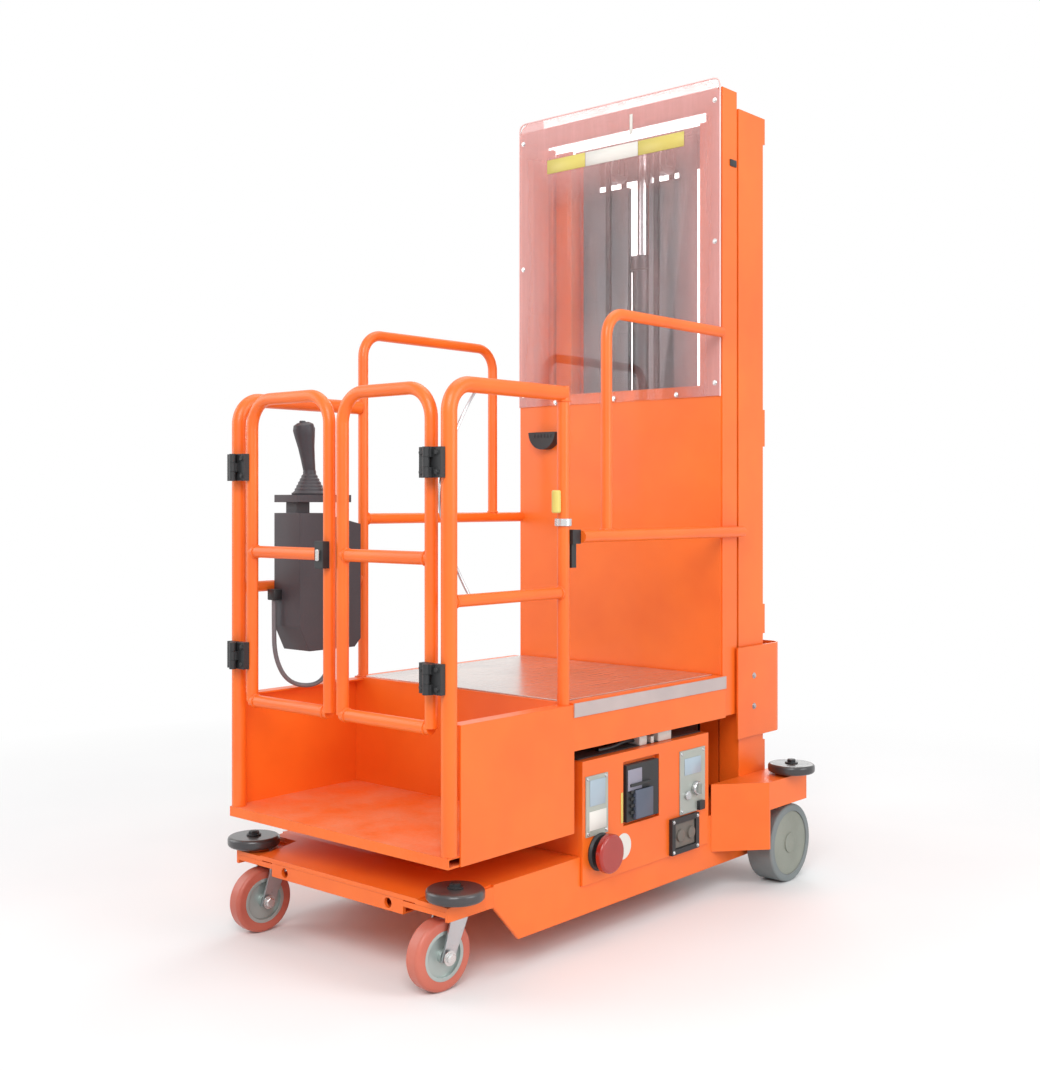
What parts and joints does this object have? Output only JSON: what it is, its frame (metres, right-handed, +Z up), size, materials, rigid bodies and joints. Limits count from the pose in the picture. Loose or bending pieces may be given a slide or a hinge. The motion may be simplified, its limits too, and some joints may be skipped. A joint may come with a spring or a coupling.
{
  "type": "order picker truck",
  "caption": "Self-propelled order picker with gated operator basket, cargo deck and clear guard climbing a two-stage mast on a low battery base.",
  "frame": {"origin": "on the floor, under the centre of the machine's outline box", "axes": "+Z up, +Y from the gates towards the mast, +X to the right seen from the gates"},
  "size_m": [1.004, 1.3726, 2.128],
  "materials": {
    "bare_metal": "satin",
    "black_plastic": "matte",
    "caster_tread": "satin",
    "clear_sheet": "gloss",
    "dark_steel": "satin",
    "drive_tread": "satin",
    "grey_trim": "satin",
    "orange_paint": "semi-gloss",
    "rubber_black": "satin",
    "stop_red": "gloss",
    "wheel_grey": "satin",
    "zinc": "satin"
  },
  "bodies": {
    "chassis": {"battery_box": "dark_steel", "charge_socket": "black_plastic", "charger_module": "black_plastic", "chassis_deck": "orange_paint", "control_panel": "orange_paint", "drive_unit": "dark_steel", "emergency_stop": "stop_red", "front_channel": "orange_paint", "lift_cylinder": "dark_steel", "mast_channels": "orange_paint", "mast_ties": "orange_paint", "power_unit": "dark_steel", "rear_cover": "orange_paint", "side_skirts": "orange_paint", "switch_plates": "grey_trim", "wheel_housings": "orange_paint"},
    "stage": {"stage_channels": "grey_trim", "stage_ties": "dark_steel", "lift_rod": "bare_metal", "sheave_brackets": "zinc", "chain_sheaves": "bare_metal", "lift_chains": "bare_metal"},
    "carriage": {"cargo_plate": "bare_metal", "carriage_frame": "orange_paint", "carriage_arms": "orange_paint", "back_panel": "orange_paint", "guard_sheet": "clear_sheet", "operator_floor": "orange_paint", "toe_panels": "orange_paint", "cargo_deck": "orange_paint", "deck_trim": "grey_trim", "side_frame_right": "orange_paint", "side_frame_left": "orange_paint", "deck_rail_left": "orange_paint", "deck_rail_right": "orange_paint", "rail_clamp": "black_plastic", "post_hinges": "black_plastic", "console_housing": "black_plastic", "joystick": "black_plastic", "alarm_horn": "black_plastic"},
    "gate_right": {"gate_leaf_right": "orange_paint", "leaf_hinges_right": "black_plastic"},
    "drive_wheel_right": {"drive_wheel_right": "wheel_grey", "drive_tyre_right": "drive_tread"},
    "caster_right": {"caster_fork_right": "zinc"},
    "caster_roll_right": {"caster_wheel_right": "zinc", "caster_tyre_right": "caster_tread"},
    "bumper_front_right": {"bumper_front_right": "rubber_black"},
    "bumper_rear_right": {"bumper_rear_right": "rubber_black"},
    "gate_left": {"gate_leaf_left": "orange_paint", "leaf_hinges_left": "black_plastic", "gate_latch": "black_plastic"},
    "drive_wheel_left": {"drive_wheel_left": "wheel_grey", "drive_tyre_left": "drive_tread"},
    "caster_left": {"caster_fork_left": "zinc"},
    "caster_roll_left": {"caster_wheel_left": "zinc", "caster_tyre_left": "caster_tread"},
    "bumper_front_left": {"bumper_front_left": "rubber_black"},
    "bumper_rear_left": {"bumper_rear_left": "rubber_black"}
  },
  "joints": [
    {"name": "stage_lift", "type": "slide", "parent": "chassis", "child": "stage", "axis": [0, 0, 1], "range_m": [0, 1.25]},
    {"name": "carriage_lift", "type": "slide", "parent": "stage", "child": "carriage", "axis": [0, 0, 1], "range_m": [0, 1.25]},
    {"name": "gate_right_swing", "type": "hinge", "parent": "carriage", "child": "gate_right", "pos_m": [0.321, -0.6765, 0.9], "axis": [0, 0, 1], "range_deg": [0, 100]},
    {"name": "drive_wheel_right_spin", "type": "hinge", "parent": "chassis", "child": "drive_wheel_right", "pos_m": [0.403, 0.5815, 0.103], "axis": [1, 0, 0], "continuous": true},
    {"name": "caster_right_swivel", "type": "hinge", "parent": "chassis", "child": "caster_right", "pos_m": [0.296, -0.5745, 0.176], "axis": [0, 0, 1], "continuous": true},
    {"name": "caster_right_roll", "type": "hinge", "parent": "caster_right", "child": "caster_roll_right", "pos_m": [0.29269, -0.61235, 0.075], "axis": [-0.9962, 0.0872, 0], "continuous": true},
    {"name": "bumper_front_right_turn", "type": "hinge", "parent": "chassis", "child": "bumper_front_right", "pos_m": [0.334, -0.6045, 0.207], "axis": [0, 0, 1], "continuous": true},
    {"name": "bumper_rear_right_turn", "type": "hinge", "parent": "chassis", "child": "bumper_rear_right", "pos_m": [0.44, 0.5855, 0.304], "axis": [0, 0, 1], "continuous": true},
    {"name": "gate_left_swing", "type": "hinge", "parent": "carriage", "child": "gate_left", "pos_m": [-0.321, -0.6765, 0.9], "axis": [0, 0, -1], "range_deg": [0, 100]},
    {"name": "drive_wheel_left_spin", "type": "hinge", "parent": "chassis", "child": "drive_wheel_left", "pos_m": [-0.403, 0.5815, 0.103], "axis": [1, 0, 0], "continuous": true},
    {"name": "caster_left_swivel", "type": "hinge", "parent": "chassis", "child": "caster_left", "pos_m": [-0.296, -0.5745, 0.176], "axis": [0, 0, 1], "continuous": true},
    {"name": "caster_left_roll", "type": "hinge", "parent": "caster_left", "child": "caster_roll_left", "pos_m": [-0.29931, -0.61235, 0.075], "axis": [-0.9962, 0.0872, 0], "continuous": true},
    {"name": "bumper_front_left_turn", "type": "hinge", "parent": "chassis", "child": "bumper_front_left", "pos_m": [-0.334, -0.6045, 0.207], "axis": [0, 0, 1], "continuous": true},
    {"name": "bumper_rear_left_turn", "type": "hinge", "parent": "chassis", "child": "bumper_rear_left", "pos_m": [-0.44, 0.5855, 0.304], "axis": [0, 0, 1], "continuous": true}
  ],
  "couplings": [
    {"joint": "carriage_lift", "follows": "stage_lift", "ratio": 1}
  ]
}
